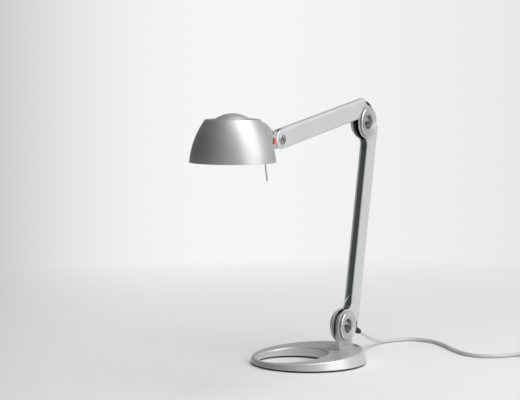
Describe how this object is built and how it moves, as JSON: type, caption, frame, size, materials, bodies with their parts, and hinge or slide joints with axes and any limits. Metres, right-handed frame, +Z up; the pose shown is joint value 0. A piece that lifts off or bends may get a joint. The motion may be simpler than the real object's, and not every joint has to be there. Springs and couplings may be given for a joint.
{
  "type": "balanced-arm desk lamp",
  "caption": "Desk lamp: open round base, swivel post, spring-balanced channel arms on hollow ring joints, and a tilting head with a bell shade and push-bar switch.",
  "frame": {"origin": "the swivel axis at table level", "axes": "+X is the way the arms reach at rest, +Z is up, and the joint axes of the arms run along Y"},
  "size_m": [0.7759, 0.5145, 0.4755],
  "materials": {
    "silver_paint": "satin",
    "base_paint": "satin silver paint",
    "arm_paint": "satin silver paint",
    "shade_paint": "satin silver paint",
    "turned_aluminium": "turned, satin",
    "steel": "brushed",
    "steel_rope": "stranded",
    "spring_steel": "bright",
    "black_rubber": "matt",
    "black_plastic": "matt",
    "black_gloss": "gloss",
    "slide_plastic": "matt",
    "silver_plastic": "satin silver",
    "red_plastic": "gloss",
    "woven_sleeve": "woven",
    "grey_cord": "satin",
    "reflector_metal": "bright",
    "ceramic": "matt",
    "bulb_glass": "clear",
    "black_paint": "gloss",
    "brass": "bright"
  },
  "bodies": {
    "base": {"base_foot_sheet": "black_rubber", "base_plate": "base_paint", "cord_coil": "grey_cord", "cord_drop": "grey_cord", "cord_floor": "grey_cord", "cord_tail": "grey_cord", "cord_tie": "black_plastic", "plug_body": "black_plastic", "plug_contacts": "brass", "swivel_slide_ring": "slide_plastic"},
    "post": {"lower_balance_pulley": "black_paint", "lower_rope_on_pulley": "steel_rope", "swivel_nut": "steel", "swivel_post": "silver_paint", "swivel_spindle": "steel", "swivel_washer": "steel"},
    "lower_arm": {"balance_spring_front": "spring_steel", "balance_spring_rear": "spring_steel", "cord_exit": "grey_cord", "cord_strain_relief": "black_plastic", "inner_lead_lower": "black_plastic", "lower_arm_channel": "arm_paint", "lower_joint_hollow_axle": "steel", "lower_joint_plain_bush": "slide_plastic", "lower_joint_ring_far": "turned_aluminium", "lower_joint_ring_near": "turned_aluminium", "lower_joint_ring_seats": "black_gloss", "lower_rope": "steel_rope", "spring_anchor_pins": "steel", "spring_hangers": "black_paint", "spring_sleeve_front": "woven_sleeve", "spring_sleeve_rear": "woven_sleeve", "upper_joint_hollow_axle": "steel", "upper_joint_plain_bush": "slide_plastic", "upper_joint_ring_far": "turned_aluminium", "upper_joint_ring_near": "turned_aluminium", "upper_joint_ring_seats": "black_gloss", "upper_rope": "steel_rope"},
    "upper_arm": {"head_friction_washers": "slide_plastic", "head_pivot_bolt": "steel", "head_pivot_caps": "steel", "inner_lead_upper": "black_plastic", "upper_arm_channel": "arm_paint", "upper_arm_tongue": "black_paint", "upper_balance_pulley": "black_paint", "upper_rope_on_pulley": "steel_rope"},
    "head": {"halogen_bulb": "bulb_glass", "handle_rod": "steel", "handle_rod_grommet": "black_plastic", "lampholder": "ceramic", "neck_front_casing": "silver_plastic", "neck_rear_casing": "silver_plastic", "reflector": "reflector_metal", "shade": "shade_paint", "switch_block": "black_plastic", "switch_collars": "silver_plastic", "vent_cap": "shade_paint", "vent_grille": "black_plastic"},
    "switch": {"switch_bar": "red_plastic"}
  },
  "joints": [
    {"name": "base_swivel", "type": "hinge", "parent": "base", "child": "post", "pos_m": [0, 0, 0.0205], "axis": [0, 0, 1], "range_deg": [-90, 90], "deforming": ["cord_drop"]},
    {"name": "lower_joint", "type": "hinge", "parent": "post", "child": "lower_arm", "pos_m": [0, 0, 0.064], "axis": [0, 1, 0], "range_deg": [-12, 25], "deforming": ["cord_exit", "lower_rope"]},
    {"name": "upper_joint", "type": "hinge", "parent": "lower_arm", "child": "upper_arm", "pos_m": [-0.07155, 0, 0.43211], "axis": [0, 1, 0], "range_deg": [-45, 15], "deforming": ["upper_rope"]},
    {"name": "head_tilt", "type": "hinge", "parent": "upper_arm", "child": "head", "pos_m": [0.22097, 0, 0.41183], "axis": [0, 1, 0], "range_deg": [-40, 25]},
    {"name": "switch_slide", "type": "slide", "parent": "head", "child": "switch", "axis": [0, 1, 0], "range_m": [-0.003, 0]}
  ]
}
